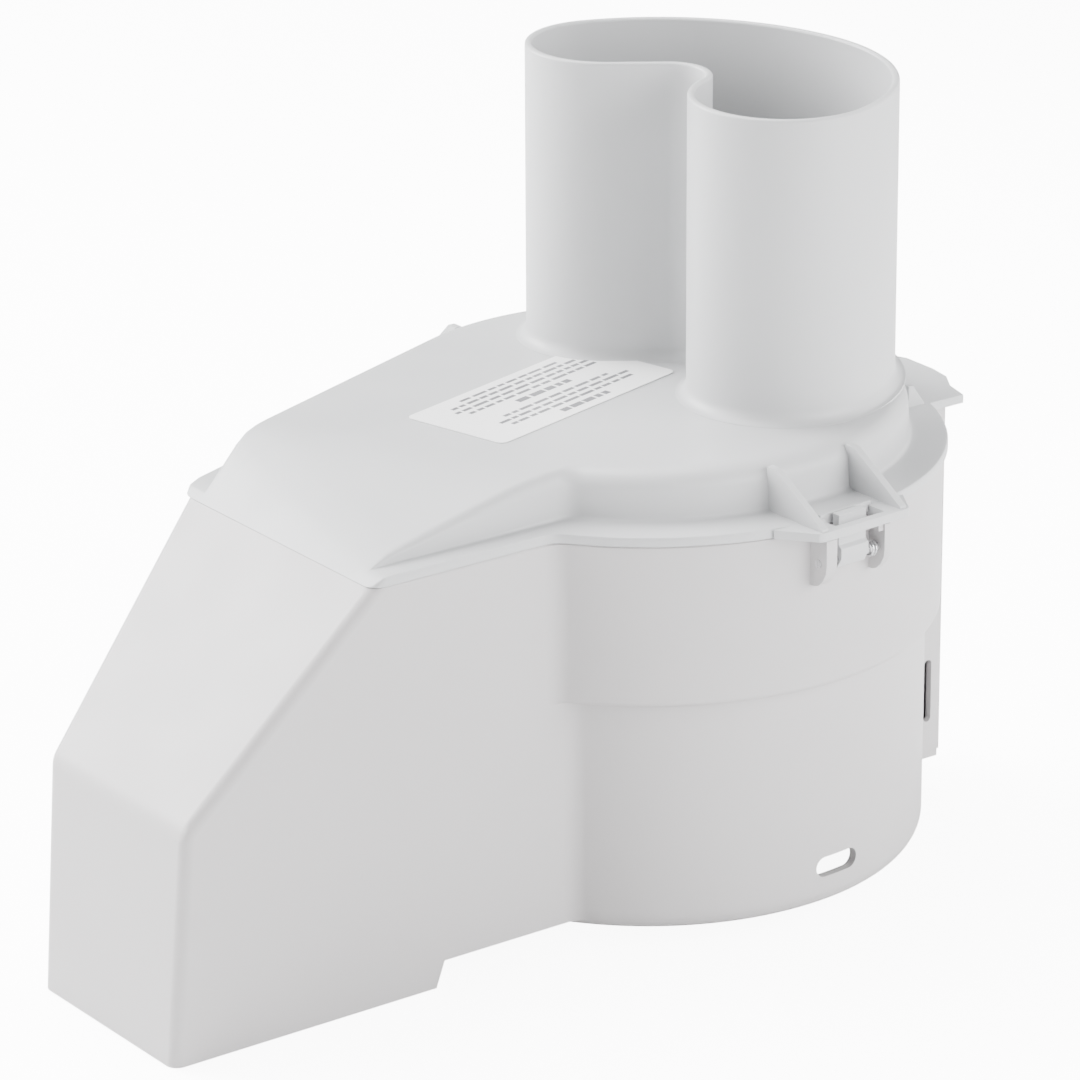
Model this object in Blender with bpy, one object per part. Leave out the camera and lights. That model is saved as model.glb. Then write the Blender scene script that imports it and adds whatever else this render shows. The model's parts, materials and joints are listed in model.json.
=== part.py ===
"""Feed head of a food processor.

A drum housing with a slanted discharge chute carries a hinged lid with a kidney-shaped feed hopper.
Inside, a stem in the drum floor drives a discharge plate and a slicing disc.  Two latches hold the lid's
front and rear tabs, and a sprung interlock rod in a column on the housing feels the lid's third tab.

Everything is drawn in millimetres from the disc axis and the skirt's bottom edge, with the chute towards
-X.  The empty "drum_axis" then stands that axis in the part's own frame, whose origin is the bottom
centre of the whole object.
"""
import math

import bmesh
import bpy
from mathutils import Matrix, Vector

MM = 0.001
GAP = 0.3                       # clearance between pieces that touch

# --- Driving dimensions, millimetres ---------------------------------------------------------------
WALL = 3.0
DRUM_R = 98.5                   # outer wall of the drum
SKIRT_R = 93.5                  # socket for the motor base, below the step
SKIRT_ROLL = 8.0                # the socket's lower edge is rolled in
STEP_Z = 81.7
RIM_Z = 137.2                   # top of the housing, where the lid rests
FLANGE_Z = RIM_Z + GAP          # underside of the lid's flange
FLANGE_T = 3.5
FLANGE_R = 100.0

CHUTE_NEAR_Y = -57.8
CHUTE_TURN = math.radians(20.5)    # the far wall leaves the drum as a tangent, turned by this
CHUTE_FOOT_X = -229.4
CHUTE_BROW_X, CHUTE_BROW_Z = -222.8, 73.2
CHUTE_FOOT_Z = -5.3
SEAM_X = -151.0                 # where the sloping hood meets the lid
LIP_X = -128.6                  # drum side of the outlet
UNDERSIDE_Z = 3.6

DOME_R = 88.5                   # raised part of the lid, a little off the disc axis
DOME_X, DOME_Y = 1.0, 3.5
DOME_Z = 156.8
DOME_NEAR_Y = -50.0
DOME_END_X = -148.0

HOPPER_TOP_Z = 260.0
HOPPER_BOTTOM_Z = 140.5
HOPPER_WALL = 2.5
HOPPER_R = 84.0                 # outer arc
HOPPER_X, HOPPER_Y = 3.5, -2.0

BRACKET_ANGLE = math.radians(87.0)  # latch brackets, either side of +X
WINDOW_ANGLE = math.radians(85.0)   # windows low in the skirt
TAB_RHO = 110.0
LATCH_RHO, LATCH_Z = 101.5, 127.0
LATCH_PIN_R = 1.5
CROSS = 0.6                     # the far chute wall crosses the round ones this much inside them

DISC_R = 87.5
DISC_Z, DISC_T = 134.2, 2.0
STEM_R = 7.8
BORE_R = STEM_R + GAP

COLUMN_Y0, COLUMN_Y1 = -29.0, 21.0
COLUMN_R = 109.0
COLUMN_FOOT_Z = 9.9
SHELF_Z = 52.0                  # carries the interlock rod's spring
ROD_X, ROD_Y = 101.75, -20.0
ROD_R = 1.8
SCREW_R = 1.2                   # the two screws that hold the column's cap
SCREW_RHO = 103.7
SCREW_YS = (-10.0, 17.8)
TAB_TIP_X = 117.0

AXIS_X = -(CHUTE_FOOT_X + TAB_TIP_X) / 2    # stands the middle of the length at x = 0
AXIS_Z = -CHUTE_FOOT_Z

HINGE = (SEAM_X, 0.0, RIM_Z + GAP / 2)
FINE = 96                       # sides of a large circle
MEDIUM = 48                     # sides of a bush or hub
SMALL = 24                      # sides of a pin, rod or screw hole

# name: (colour, roughness, metallic)
FINISHES = {
    "housing_plastic": ((0.64, 0.625, 0.63), 0.45, 0.0),
    "lid_plastic": ((0.66, 0.665, 0.675), 0.42, 0.0),
    "label_film": ((0.9, 0.9, 0.9), 0.35, 0.0),
    "disc_plastic": ((0.78, 0.78, 0.76), 0.4, 0.0),
    "steel": ((0.6, 0.6, 0.62), 0.25, 1.0),
    "bronze": ((0.45, 0.3, 0.16), 0.35, 1.0),
    "magnet": ((0.2, 0.2, 0.21), 0.5, 0.0),
    "seal_rubber": ((0.03, 0.03, 0.035), 0.7, 0.0),
}


# --- Helpers ----------------------------------------------------------------------------------------
def clear_scene():
    for obj in list(bpy.data.objects):
        bpy.data.objects.remove(obj, do_unlink=True)


def make_materials():
    made = {}
    for name, (colour, roughness, metallic) in FINISHES.items():
        material = bpy.data.materials.new(name)
        material.use_nodes = True
        shader = material.node_tree.nodes["Principled BSDF"]
        shader.inputs["Base Color"].default_value = (*colour, 1.0)
        shader.inputs["Roughness"].default_value = roughness
        shader.inputs["Metallic"].default_value = metallic
        made[name] = material
    return made


def solid(name, bm):
    """Turn a bmesh drawn in millimetres into an object in metres, with its faces pointing out."""
    bmesh.ops.recalc_face_normals(bm, faces=bm.faces)
    bmesh.ops.scale(bm, vec=(MM, MM, MM), verts=bm.verts)
    mesh = bpy.data.meshes.new(name)
    bm.to_mesh(mesh)
    bm.free()
    obj = bpy.data.objects.new(name, mesh)
    bpy.context.scene.collection.objects.link(obj)
    return obj


def extrude(name, outline, z0, z1, frame=None):
    """A prism: the outline's (u, v) points, raised from w = z0 to z1, then turned by frame."""
    bm = bmesh.new()
    face = bm.faces.new([bm.verts.new((u, v, z0)) for u, v in outline])
    lifted = bmesh.ops.extrude_face_region(bm, geom=[face])["geom"]
    moved = [item for item in lifted if isinstance(item, bmesh.types.BMVert)]
    bmesh.ops.translate(bm, verts=moved, vec=(0, 0, z1 - z0))
    if frame is not None:
        bmesh.ops.transform(bm, matrix=frame, verts=bm.verts)
    return solid(name, bm)


def turn(name, profile, steps=FINE, centre=(0.0, 0.0)):
    """A solid of revolution about Z: a closed (r, z) profile, or one whose ends lie on the axis."""
    bm = bmesh.new()
    rings = []
    for r, z in profile:
        if r == 0.0:
            rings.append([bm.verts.new((0, 0, z))] * steps)
            continue
        angles = [2 * math.pi * i / steps for i in range(steps)]
        rings.append([bm.verts.new((r * math.cos(a), r * math.sin(a), z)) for a in angles])
    pairs = list(zip(rings, rings[1:]))
    if profile[0][0] > 0.0:
        pairs.append((rings[-1], rings[0]))
    for lower, upper in pairs:
        for i in range(steps):
            j = (i + 1) % steps
            corners = [lower[i], lower[j], upper[j], upper[i]]
            bm.faces.new(list(dict.fromkeys(corners)))
    bmesh.ops.translate(bm, verts=bm.verts, vec=(*centre, 0))
    return solid(name, bm)


def cylinder(name, r, z0, z1, centre=(0.0, 0.0), steps=FINE):
    return turn(name, [(0, z0), (r, z0), (r, z1), (0, z1)], steps, centre)


def tube(name, inner, outer, z0, z1, centre=(0.0, 0.0), steps=FINE):
    return turn(name, [(inner, z0), (outer, z0), (outer, z1), (inner, z1)], steps, centre)


def box(name, low, high, frame=None):
    outline = [(low[0], low[1]), (high[0], low[1]), (high[0], high[1]), (low[0], high[1])]
    return extrude(name, outline, low[2], high[2], frame)


def combine(target, tool, operation):
    """Apply one exact Boolean to target and use the tool up."""
    modifier = target.modifiers.new("combine", "BOOLEAN")
    modifier.operation = operation
    modifier.solver = "EXACT"
    modifier.object = tool
    graph = bpy.context.evaluated_depsgraph_get()
    mesh = bpy.data.meshes.new_from_object(target.evaluated_get(graph))
    target.modifiers.clear()
    bm = bmesh.new()
    bm.from_mesh(mesh)
    bmesh.ops.remove_doubles(bm, verts=bm.verts, dist=5e-6)
    bmesh.ops.dissolve_degenerate(bm, edges=bm.edges, dist=1e-6)
    bm.to_mesh(mesh)
    bm.free()
    target.data = mesh
    bpy.data.objects.remove(tool, do_unlink=True)
    return target


def join(target, tool):
    return combine(target, tool, "UNION")


def cut(target, tool):
    return combine(target, tool, "DIFFERENCE")


def keep(target, tool):
    return combine(target, tool, "INTERSECT")


def dress(obj, material, parent, smooth=True):
    """Give the piece its finish and hang it on its body's empty, leaving it where it was drawn."""
    obj.data.materials.clear()
    obj.data.materials.append(material)
    if smooth:
        obj.data.shade_smooth()
        obj.data.set_sharp_from_angle(angle=math.radians(30))
    obj.parent = parent
    obj.location = -Vector(parent["pivot"])
    return obj


def empty(name, pivot, parent=None):
    """An empty on a body's joint axis, pivot in millimetres from the disc axis."""
    obj = bpy.data.objects.new(name, None)
    bpy.context.scene.collection.objects.link(obj)
    here = Vector(pivot) * MM
    obj["pivot"] = here
    obj.parent = parent
    obj.location = here if parent else Vector((AXIS_X, 0, AXIS_Z)) * MM
    return obj


# Frames that stand a flat drawing up: u, v, w are the drawing's two directions and its thickness.
SIDE = Matrix(((1, 0, 0, 0), (0, 0, -1, 0), (0, 1, 0, 0), (0, 0, 0, 1)))     # u = x, v = z, w = -y


def bracket_frame(side, turned=BRACKET_ANGLE):
    """Drawing directions at a latch bracket: u = along the rim towards +X, v = out, w = up."""
    angle = side * turned
    out = Vector((math.cos(angle), math.sin(angle), 0))
    along = Vector((math.sin(turned), -side * math.cos(turned), 0))
    return Matrix((
        (along.x, out.x, 0, 0), (along.y, out.y, 0, 0), (0, 0, 1, 0), (0, 0, 0, 1)))


def bracket_side_frame(side):
    """At a latch bracket: u = out, v = up, w = along the rim towards +X."""
    flat = bracket_frame(side)
    along, out, up = flat.col[0], flat.col[1], flat.col[2]
    return Matrix((
        (out.x, up.x, along.x, 0), (out.y, up.y, along.y, 0), (out.z, up.z, along.z, 0), (0, 0, 0, 1)))


# --- Outlines ---------------------------------------------------------------------------------------
def arc(centre, r, start, end, steps):
    """Points along an arc, angles in degrees; it runs clockwise where end is below start."""
    angles = [math.radians(start + (end - start) * i / steps) for i in range(steps + 1)]
    return [(centre[0] + r * math.cos(a), centre[1] + r * math.sin(a)) for a in angles]


def far_y(x, radius):
    """Y of the far chute wall at x: the tangent to the circle of this radius about the disc axis."""
    return (radius + math.sin(CHUTE_TURN) * x) / math.cos(CHUTE_TURN)


def chute_plan(near_y, radius):
    """The chute from above, from past its end wall to the middle of the drum."""
    start_x = CHUTE_FOOT_X - 10
    touch = (-radius * math.sin(CHUTE_TURN), radius * math.cos(CHUTE_TURN))
    return [(start_x, near_y), (0, near_y), (0, radius * 0.6), touch, (start_x, far_y(start_x, radius))]


def slope_inset(depth):
    """The hood's slope moved inwards by depth: its brow and seam points as (x, z)."""
    run = SEAM_X - CHUTE_BROW_X
    rise = RIM_Z - CHUTE_BROW_Z
    length = math.hypot(run, rise)
    sx, sz = run / length, rise / length
    brow_x = CHUTE_BROW_X + depth
    brow_z = CHUTE_BROW_Z + (brow_x - CHUTE_BROW_X) * rise / run - depth / sx
    seam_x = SEAM_X + depth / sz
    return (brow_x, brow_z), (seam_x, RIM_Z)


def kidney(grow):
    """The hopper's outer wall from above, moved outwards by grow.

    Arcs in order: the outer arc, the rear end cap, the notch round the hub (hollow side out), the front
    lobe, and a slow arc that leads the lobe back into the outer arc.
    """
    cap_r, lobe_r, slow_r = 27.1, 31.6, 65.0
    cap_angle = 71.3
    outer = (HOPPER_X, HOPPER_Y)
    cap = (HOPPER_X + (HOPPER_R - cap_r) * math.cos(math.radians(cap_angle)),
           HOPPER_Y + (HOPPER_R - cap_r) * math.sin(math.radians(cap_angle)))
    lobe = (31.6, -31.8)
    notch = (15.2, 8.5)
    notch_r = math.dist(notch, lobe) - lobe_r
    down = math.degrees(math.atan2(lobe[1] - notch[1], lobe[0] - notch[0]))
    # A straight wall touches the cap and the notch from opposite sides, which fixes its direction.
    towards = math.degrees(math.atan2(notch[1] - cap[1], notch[0] - cap[0])) % 360
    leave = towards - math.degrees(math.acos((cap_r + notch_r) / math.dist(cap, notch)))
    # The slow arc touches the outer arc and the lobe from inside, which fixes its centre.
    ux, uy = lobe[0] - HOPPER_X, lobe[1] - HOPPER_Y
    to_lobe = math.hypot(ux, uy)
    from_outer = HOPPER_R - slow_r
    from_lobe = slow_r - lobe_r
    along = (from_outer ** 2 - from_lobe ** 2 + to_lobe ** 2) / (2 * to_lobe)
    aside = math.sqrt(from_outer ** 2 - along ** 2)
    slow = (HOPPER_X + (along * ux - aside * uy) / to_lobe, HOPPER_Y + (along * uy + aside * ux) / to_lobe)
    slow_end = math.degrees(math.atan2(slow[1] - HOPPER_Y, slow[0] - HOPPER_X))
    slow_start = math.degrees(math.atan2(lobe[1] - slow[1], lobe[0] - slow[0]))
    points = arc(outer, HOPPER_R + grow, slow_end, cap_angle, 20)
    points += arc(cap, cap_r + grow, cap_angle, leave, 16)[1:]
    points += arc(notch, notch_r - grow, leave - 180, down, 9)
    points += arc(lobe, lobe_r + grow, down + 180, 360 + slow_start, 16)[1:]
    points += arc(slow, slow_r + grow, slow_start, slow_end, 8)[1:-1]
    return points


# --- Housing ----------------------------------------------------------------------------------------
def chute_block():
    """The chute's outer form: its side profile kept to its plan."""
    profile = [
        (CHUTE_FOOT_X, CHUTE_FOOT_Z), (LIP_X, CHUTE_FOOT_Z), (LIP_X + 3.3, UNDERSIDE_Z), (0, UNDERSIDE_Z),
        (0, RIM_Z), (SEAM_X, RIM_Z), (CHUTE_BROW_X, CHUTE_BROW_Z)]
    block = extrude("chute_block", profile, -110, 110, SIDE)
    return keep(block, extrude("plan", chute_plan(CHUTE_NEAR_Y, DRUM_R - CROSS), -20, 150))


def ramp_x(z, back=0.0):
    """The wall that leads food from the drum floor down to the outlet."""
    top_x, top_z = -97.0, STEP_Z + WALL
    slope = (LIP_X - WALL - top_x) / (CHUTE_FOOT_Z - top_z)
    return top_x + (z - top_z) * slope + back


def duct_block():
    """The food's way from the drum down to the outlet."""
    below, above = CHUTE_FOOT_Z - 3, RIM_Z + 10
    (brow_x, brow_z), (seam_x, seam_z) = slope_inset(WALL)
    floor_z = STEP_Z + WALL
    foot_x = CHUTE_FOOT_X + WALL - 0.25
    profile = [
        (foot_x, below), (ramp_x(below), below), (ramp_x(floor_z), floor_z), (-50, floor_z), (-50, above),
        (seam_x, above), (seam_x, seam_z), (brow_x, brow_z)]
    block = extrude("duct", profile, -110, 110, SIDE)
    return keep(block, extrude("plan", chute_plan(CHUTE_NEAR_Y + WALL, DRUM_R - WALL - CROSS), -20, 160))


def pocket_block():
    """The hollow between the ramp and the skirt, open underneath."""
    below, top = CHUTE_FOOT_Z - 3, STEP_Z - 0.5
    back = WALL + 0.4
    profile = [(ramp_x(below, back), below), (-45, below), (-45, top), (ramp_x(top, back), top)]
    block = extrude("pocket", profile, -110, 110, SIDE)
    keep(block, extrude("plan", chute_plan(CHUTE_NEAR_Y + WALL, DRUM_R - WALL - CROSS), -20, 160))
    return cut(block, cylinder("skirt_core", SKIRT_R, -20, 160))


def column_block(y0, y1, inner, outer, z0, z1):
    """A stretch of ring kept between two values of y, on the +X side."""
    block = tube("column", inner, outer, z0, z1)
    return keep(block, box("slab", (60, y0, z0 - 5), (outer + 5, y1, z1 + 5)))


def hollow_column(body):
    inner, outer = DRUM_R + 2.1, COLUMN_R - 2.2
    side_y = COLUMN_Y0 + 2.5
    cut(body, column_block(side_y, -12, inner, outer, 0, SHELF_Z))
    cut(body, column_block(side_y, -12, inner, outer, SHELF_Z + WALL, RIM_Z - WALL))
    cut(body, column_block(-8, 14.5, inner, outer, 0, RIM_Z - WALL))
    cut(body, cylinder("rod_way", ROD_R + GAP, 10, RIM_Z + 5, (ROD_X, ROD_Y), SMALL))
    for y in SCREW_YS:
        x = math.sqrt(SCREW_RHO ** 2 - y ** 2)
        cut(body, cylinder("screw_way", SCREW_R + GAP, 0, 22, (x, y), SMALL))
    # Window in the side that shows the magnet.
    cut(body, box("window", (97.7, COLUMN_Y0 - 3, 21), (101.2, COLUMN_Y0 + 4, 44)))


def add_latch_ears(body, side):
    frame = bracket_side_frame(side)
    top = RIM_Z - 1.6
    ear = [(88, 118.5), (101.0, 118.5), (105.6, 124.0), (105.6, top), (88, top)]
    for w, thick in ((-14.0, 4.5), (11.0, 2.5)):
        join(body, extrude("ear", ear, w, w + thick, frame))


def drill_latch_ears(body, side):
    frame = bracket_side_frame(side)
    hole = arc((LATCH_RHO, LATCH_Z), LATCH_PIN_R + GAP, 0, 360, SMALL)[:-1]
    cut(body, extrude("pin_way", hole, -20, 20, frame))


def obround(length, height, steps=8):
    half, r = length / 2 - height / 2, height / 2
    return arc((half, 0), r, -90, 90, steps) + arc((-half, 0), r, 90, 270, steps)


def make_housing(finish, root):
    body = chute_block()
    body.name = "base_housing"
    roll = (SKIRT_R - SKIRT_ROLL, SKIRT_ROLL)
    outside = [(0, 0)] + arc(roll, SKIRT_ROLL, -90, 0, 6)
    outside += [(SKIRT_R, STEP_Z), (DRUM_R, STEP_Z), (DRUM_R, RIM_Z), (0, RIM_Z)]
    join(body, turn("drum", outside))
    join(body, column_block(COLUMN_Y0, COLUMN_Y1, 80, COLUMN_R, COLUMN_FOOT_Z, RIM_Z - 0.2))
    for side in (-1, 1):
        add_latch_ears(body, side)
    cut(body, duct_block())
    cut(body, pocket_block())
    cut(body, cylinder("drum_bore", DRUM_R - WALL, STEP_Z + WALL, RIM_Z + 20))
    mouth = SKIRT_R - SKIRT_ROLL - WALL
    inside = [(0, -20), (mouth, -20), (mouth, WALL)] + arc(roll, SKIRT_ROLL - WALL, -90, 0, 6)
    inside += [(SKIRT_R - WALL, STEP_Z), (0, STEP_Z)]
    cut(body, turn("skirt_bore", inside))
    boss_r = 17.0
    cut(body, cylinder("boss_way", boss_r - 2.4, 70, 100, steps=MEDIUM))
    join(body, tube("boss", 12.2, boss_r, 62, 100, steps=MEDIUM))
    hollow_column(body)
    for side in (-1, 1):
        drill_latch_ears(body, side)
        window = [(u, v + 15.1) for u, v in obround(18, 7)]
        cut(body, extrude("window", window, 80, 100, slot_frame(side)))
    # Bayonet lugs inside the skirt, which turn under the motor base's rim.
    for k in range(3):
        angle = math.radians(25 + 120 * k)
        lug = box("lug", (-9, 86.5, 12), (9, SKIRT_R - 1.5, 17), Matrix.Rotation(angle, 4, "Z"))
        join(body, lug)
    dress(body, finish["housing_plastic"], root)


def slot_frame(side):
    """For the windows low in the skirt: u = along the rim, v = up, w = out."""
    flat = bracket_frame(side, WINDOW_ANGLE)
    along, out, up = flat.col[0], flat.col[1], flat.col[2]
    return Matrix((
        (along.x, up.x, out.x, 0), (along.y, up.y, out.y, 0), (along.z, up.z, out.z, 0), (0, 0, 0, 1)))


def make_housing_fittings(finish, root):
    bush = turn("shaft_bush", [
        (BORE_R, 60), (11.9, 60), (11.9, 100.3), (15.5, 100.3), (15.5, 102.3), (BORE_R, 102.3)], MEDIUM)
    dress(bush, finish["bronze"], root)
    seal = turn("shaft_seal", [
        (17.3, 90), (19.2, 90), (19.2, 93), (20.2, 96), (19.6, 96.6), (18.4, 94), (17.3, 94)], MEDIUM)
    dress(seal, finish["seal_rubber"], root)
    for side, place in ((-1, "front"), (1, "rear")):
        frame = bracket_side_frame(side)
        circle = arc((LATCH_RHO, LATCH_Z), LATCH_PIN_R, 0, 360, SMALL)[:-1]
        pin = extrude("latch_pin_" + place, circle, -14.3, 13.8, frame)
        dress(pin, finish["steel"], root)
        make_torsion_spring("latch_spring_" + place, frame, finish["steel"], root)
    cap = column_block(COLUMN_Y0 + 0.5, COLUMN_Y1 - 0.5, DRUM_R - 0.5, COLUMN_R - 0.5,
                       COLUMN_FOOT_Z - 2.8, COLUMN_FOOT_Z - GAP)
    cap.name = "column_cap"
    for number, y in enumerate(SCREW_YS, start=1):
        x = math.sqrt(SCREW_RHO ** 2 - y ** 2)
        cut(cap, cylinder("hole", SCREW_R + GAP, 0, 20, (x, y), SMALL))
        head_z, under_z, tip_z = (COLUMN_FOOT_Z + z for z in (-4.6, -3.1, 9.0))
        profile = [
            (0, head_z), (2.4, head_z), (2.4, under_z), (SCREW_R, under_z), (SCREW_R, tip_z), (0, tip_z)]
        screw = turn("cap_screw_%d" % number, profile, SMALL, (x, y))
        dress(screw, finish["steel"], root)
    dress(cap, finish["housing_plastic"], root)


def make_torsion_spring(name, frame, material, root):
    """Coil round the latch pin beside the lever, drawn as a wire on a helix."""
    turns, wire, coil_r = 2.5, 0.4, 2.25
    curve = bpy.data.curves.new(name, "CURVE")
    curve.dimensions = "3D"
    curve.bevel_depth = wire * MM
    curve.bevel_resolution = 2
    curve.use_fill_caps = True
    count = 36
    spline = curve.splines.new("POLY")
    spline.points.add(count)
    for i in range(count + 1):
        a = 2 * math.pi * turns * i / count
        u = LATCH_RHO + coil_r * math.cos(a)
        v = LATCH_Z + coil_r * math.sin(a)
        w = 6.4 + 3.2 * i / count
        spline.points[i].co = (*(frame @ Vector((u, v, w)) * MM), 1.0)
    obj = bpy.data.objects.new(name, curve)
    bpy.context.scene.collection.objects.link(obj)
    dress(obj, material, root, smooth=False)


# --- Lid --------------------------------------------------------------------------------------------
def dome_block(name, inset, lift, start_z):
    """The lid's raised part as a solid, moved in by inset and up by lift (down where negative)."""
    top = DOME_Z + lift
    near_y = DOME_NEAR_Y + inset
    radius = DOME_R - inset
    aside = DOME_Y * math.cos(CHUTE_TURN) - DOME_X * math.sin(CHUTE_TURN)
    block = extrude(name, chute_plan(near_y, radius + aside - CROSS), start_z, top)
    join(block, cylinder("round", radius, start_z, top, (DOME_X, DOME_Y)))
    # Over the chute the top falls away in a plane that turns with the far wall, down to the seam.
    end_x = DOME_END_X + inset
    fall = [(-88, near_y, top), (-128, 45, top), (-137, near_y, FLANGE_Z + FLANGE_T + lift)]
    cut(block, half_space("fall", fall))
    steep = [(end_x + 20, near_y, top), (end_x + 12, 60, top), (end_x, near_y, FLANGE_Z + FLANGE_T + lift)]
    cut(block, half_space("steep", steep))
    return cut(block, box("end", (-260, -120, 0), (end_x, 120, 300)))


def half_space(name, corners):
    """A big slab lying on the plane through three points, on its upper side."""
    a, b, c = (Vector(p) for p in corners)
    across = (b - a).normalized()
    up = across.cross(c - a).normalized()
    if up.z < 0:
        up = -up
    ahead = up.cross(across)
    frame = Matrix.Translation(a) @ Matrix((
        (across.x, ahead.x, up.x, 0), (across.y, ahead.y, up.y, 0), (across.z, ahead.z, up.z, 0),
        (0, 0, 0, 1)))
    reach = 400
    return box(name, (-reach, -reach, 0), (reach, reach, reach), frame)


def flange_block():
    plan = chute_plan(CHUTE_NEAR_Y - 0.3, FLANGE_R - CROSS)
    plate = extrude("flange", plan, FLANGE_Z, FLANGE_Z + FLANGE_T)
    join(plate, cylinder("flange_round", FLANGE_R, FLANGE_Z, FLANGE_Z + FLANGE_T))
    return cut(plate, box("end", (-260, -120, 0), (SEAM_X + GAP, 120, 300)))


def add_latch_tab(lid, side):
    flat = bracket_frame(side)
    upright = bracket_side_frame(side)
    top = FLANGE_Z + FLANGE_T
    plate = [(-29, 92), (-29, 95), (-20, TAB_RHO), (18.5, TAB_RHO), (25, 96), (25, 92)]
    join(lid, extrude("tab", plate, FLANGE_Z + 0.15, top - 0.15, flat))
    gusset = [
        (83.0, DOME_Z - 1.0), (86.0, DOME_Z - 1.0), (109.0, top + 0.5), (109.0, top - 1.0),
        (83.0, top - 1.0)]
    for w in (-19.0, 14.5):
        join(lid, extrude("gusset", gusset, w, w + 3.0, upright))
    # The catch's nose stands in this slot.
    cut(lid, box("latch_slot", (-9.5, 96.3, 120), (9.5, 106.6, 150), flat))


def hook_outline():
    """A tongue that reaches under the hood's slope, clear of its edge all the way as the lid turns."""
    clear, thick, reach = 1.8, 2.5, 9.0
    (_, _), (seam_x, seam_z) = slope_inset(WALL)
    run, rise = SEAM_X - CHUTE_BROW_X, RIM_Z - CHUTE_BROW_Z
    length = math.hypot(run, rise)
    sx, sz = run / length, rise / length
    near = Vector((seam_x + sz * clear, seam_z - sx * clear))
    deep = near + Vector((sz, -sx)) * thick
    back = Vector((sx, sz)) * reach
    top = FLANGE_Z + 1.0
    return [(near.x, top), (deep.x + 1.0, top), (deep.x + 1.0, deep.y), tuple(deep - back),
            tuple(near - back), tuple(near)]


def make_lid(finish, lid_pivot):
    lid = flange_block()
    lid.name = "lid_cover"
    join(lid, dome_block("dome", 0.0, 0.0, FLANGE_Z + 1))
    join(lid, extrude("switch_tab", [
        (80, -35), (108, -35), (110.5, -25), (115.5, -17), (TAB_TIP_X, -8), (TAB_TIP_X, 6), (108, 27),
        (80, 27)], FLANGE_Z + 0.15, FLANGE_Z + FLANGE_T - 0.15))
    for side in (-1, 1):
        add_latch_tab(lid, side)
    cut(lid, dome_block("hollow", WALL, -WALL, FLANGE_Z - 10))
    for y in (-38.0, 14.0):
        join(lid, extrude("hook", hook_outline(), -y - 12, -y, SIDE))
    cut(lid, extrude("hopper_way", kidney(GAP), 120, 200))
    dress(lid, finish["lid_plastic"], lid_pivot)

    collar = extrude("collar", kidney(3.0), DOME_Z + GAP, DOME_Z + GAP + 2.5)
    cut(collar, extrude("core", kidney(-1.2), DOME_Z - 10, DOME_Z + 20))
    hopper = extrude("feed_hopper", kidney(0.0), HOPPER_BOTTOM_Z, HOPPER_TOP_Z)
    cut(hopper, extrude("core", kidney(-HOPPER_WALL), HOPPER_BOTTOM_Z - 10, HOPPER_TOP_Z + 10))
    join(hopper, collar)
    dress(hopper, finish["lid_plastic"], lid_pivot)

    pilot = tube("pilot_bush", 8.3, 12.0, 148.3, DOME_Z - WALL - GAP, steps=MEDIUM)
    dress(pilot, finish["bronze"], lid_pivot)
    make_label(finish["label_film"], lid_pivot)


def make_label(material, lid_pivot):
    """A film on the lid with rounded corners."""
    length, width, round_r, turned = 91.0, 41.0, 3.0, math.radians(14.6)
    middle = Matrix.Translation((-32.8, 14.0, 0)) @ Matrix.Rotation(turned, 4, "Z")
    outline = []
    for quarter, (u, v) in enumerate(((1, 1), (-1, 1), (-1, -1), (1, -1))):
        corner = (u * (length / 2 - round_r), v * (width / 2 - round_r))
        outline += arc(corner, round_r, 90 * quarter, 90 * quarter + 90, 5)
    film = extrude("lid_label", outline, DOME_Z + GAP, DOME_Z + GAP + 0.35, middle)
    cut(film, extrude("foot", kidney(3.0 + GAP), DOME_Z - 5, DOME_Z + 5))
    dress(film, material, lid_pivot)


# --- Drive ------------------------------------------------------------------------------------------
def make_drive(finish, spin):
    stem = turn("drive_stem", [
        (0, 45), (11, 45), (11, 58), (STEM_R, 59.5), (STEM_R, 149), (STEM_R - 1, 150), (0, 150)], MEDIUM)
    hexagon = arc((0, 0), 7.0, 0, 360, 6)[:-1]
    cut(stem, extrude("socket", hexagon, 40, 57))
    pin_z, pin_r = 110.0, 2.0
    across = Matrix.Translation((0, 0, pin_z)) @ Matrix.Rotation(math.radians(90), 4, "Y")
    cut(stem, extrude("pin_way", arc((0, 0), pin_r + GAP, 0, 360, SMALL)[:-1], -20, 20, across))
    dress(stem, finish["steel"], spin)
    pin = extrude("drive_pin", arc((0, 0), pin_r, 0, 360, SMALL)[:-1], -14, 14, across)
    dress(pin, finish["steel"], spin)

    plate_z, hub_top = 87.5, DISC_Z - 4.0
    plate = turn("discharge_plate", [
        (21.0, plate_z), (91.5, plate_z), (91.5, plate_z + 2.5), (24, plate_z + 2.5), (24, hub_top),
        (BORE_R, hub_top), (BORE_R, 105), (21, 105)])
    cut(plate, box("pin_slot", (-15, -2.5, 100), (15, 2.5, pin_z + 2.0 + GAP)))
    for k in range(4):
        turned = Matrix.Rotation(math.radians(45 + 90 * k), 4, "Z")
        join(plate, box("fin", (22.5, -1.3, plate_z + 1.2), (87, 1.3, 126), turned))
    dress(plate, finish["disc_plastic"], spin)

    hub = turn("disc_hub", [
        (BORE_R, hub_top + GAP), (22, hub_top + GAP), (22, DISC_Z - GAP), (12.5, DISC_Z - GAP),
        (12.5, 146.5), (11.5, 147.5), (BORE_R, 147.5)], MEDIUM)
    dress(hub, finish["disc_plastic"], spin)
    make_cutting_disc(finish, spin)


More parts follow.
